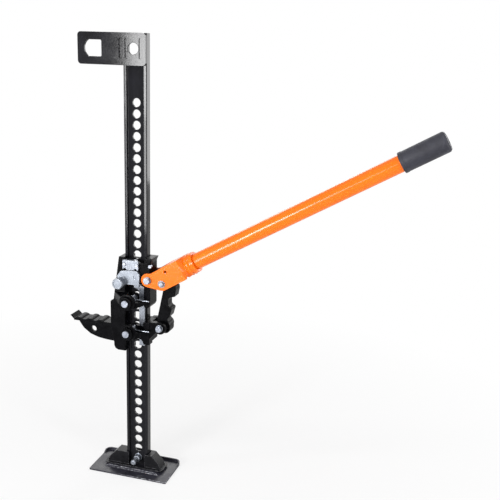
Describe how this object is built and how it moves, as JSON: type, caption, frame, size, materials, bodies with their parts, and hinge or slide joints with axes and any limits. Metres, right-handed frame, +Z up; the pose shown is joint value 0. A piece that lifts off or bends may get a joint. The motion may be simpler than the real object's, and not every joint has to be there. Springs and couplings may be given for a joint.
{
  "type": "high lift jack",
  "caption": "Upright farm jack: holed I-beam bar on a base plate, climbing lift carriage with a toothed nose, spring pins, reversing latch and a long tubular handle.",
  "frame": {"origin": "on the floor, at the middle of the bar's section, under the base plate", "axes": "+Z up along the bar, -X towards the lifting nose, +X towards the handle, -Y towards the side with the latch and the climbing pins' heads"},
  "size_m": [0.7437, 0.108, 0.914],
  "materials": {
    "gloss_black": "gloss black powder coat on rolled and pressed steel",
    "black_casting": "semi-gloss black paint on cast iron",
    "orange_paint": "gloss orange powder coat",
    "grip_rubber": "matt charcoal rubber",
    "zinc": "bright zinc plate"
  },
  "bodies": {
    "base_and_bar": {"base_plate": "gloss_black", "base_socket": "gloss_black", "base_pin": "zinc", "base_pin_clip": "zinc", "standard_bar": "gloss_black", "top_plate": "gloss_black", "top_plate_welds": "gloss_black"},
    "carriage": {"large_runner": "black_casting", "runner_screw": "zinc", "latch_bracket": "zinc", "bracket_screws": "zinc", "latch_pivot_pin": "zinc", "handle_pivot_bolt": "zinc", "handle_pivot_nut": "zinc", "handle_pivot_washers": "zinc", "upper_pin_spring": "zinc"},
    "upper_pin": {"upper_climbing_pin": "zinc", "upper_spring_washer": "zinc", "upper_cross_pin": "zinc"},
    "latch": {"reversing_latch": "zinc", "rod_rivet": "zinc"},
    "rod": {"latch_rod": "zinc"},
    "small_runner_body": {"small_runner": "black_casting", "runner_bolt": "zinc", "runner_nut": "zinc", "runner_washers": "zinc", "lower_pin_spring": "zinc"},
    "lower_pin": {"lower_climbing_pin": "zinc", "lower_spring_washer": "zinc", "lower_cross_pin": "zinc"},
    "handle": {"handle_socket": "orange_paint", "handle_tube": "orange_paint", "handle_grip": "grip_rubber", "link_bolt": "zinc", "link_nut": "zinc", "link_washers": "zinc"},
    "link": {"pitman_link": "black_casting"}
  },
  "joints": [
    {"name": "carriage_slide", "type": "slide", "parent": "base_and_bar", "child": "carriage", "axis": [0, 0, 1], "range_m": [-0.2171, 0.34736]},
    {"name": "handle_swing", "type": "hinge", "parent": "carriage", "child": "handle", "pos_m": [0.033, 0, 0.43597], "axis": [0, 1, 0], "range_deg": [-45, 45]},
    {"name": "small_runner_slide", "type": "slide", "parent": "carriage", "child": "small_runner_body", "axis": [0, 0, 1], "range_m": [-0.0218, 0.0218]},
    {"name": "link_swing", "type": "hinge", "parent": "handle", "child": "link", "pos_m": [0.06332, 0, 0.43187], "axis": [0, 1, 0], "range_deg": [-47, 47]},
    {"name": "upper_pin_slide", "type": "slide", "parent": "carriage", "child": "upper_pin", "axis": [0, 1, 0], "range_m": [0, 0.007], "deforming": ["upper_pin_spring"]},
    {"name": "lower_pin_slide", "type": "slide", "parent": "small_runner_body", "child": "lower_pin", "axis": [0, 1, 0], "range_m": [0, 0.007], "deforming": ["lower_pin_spring"]},
    {"name": "latch_swing", "type": "hinge", "parent": "carriage", "child": "latch", "pos_m": [-0.0155, 0, 0.43517], "axis": [0, 1, 0], "range_deg": [0, 25]},
    {"name": "latch_rod_slide", "type": "slide", "parent": "carriage", "child": "rod", "axis": [0, 0, 1], "range_m": [-0.0096, 0]}
  ],
  "couplings": [
    {"joint": "small_runner_slide", "follows": "handle_swing", "m_per_rad": -0.027642},
    {"joint": "link_swing", "follows": "handle_swing", "ratio": -1.0385},
    {"joint": "latch_rod_slide", "follows": "latch_swing", "m_per_rad": -0.02183}
  ]
}
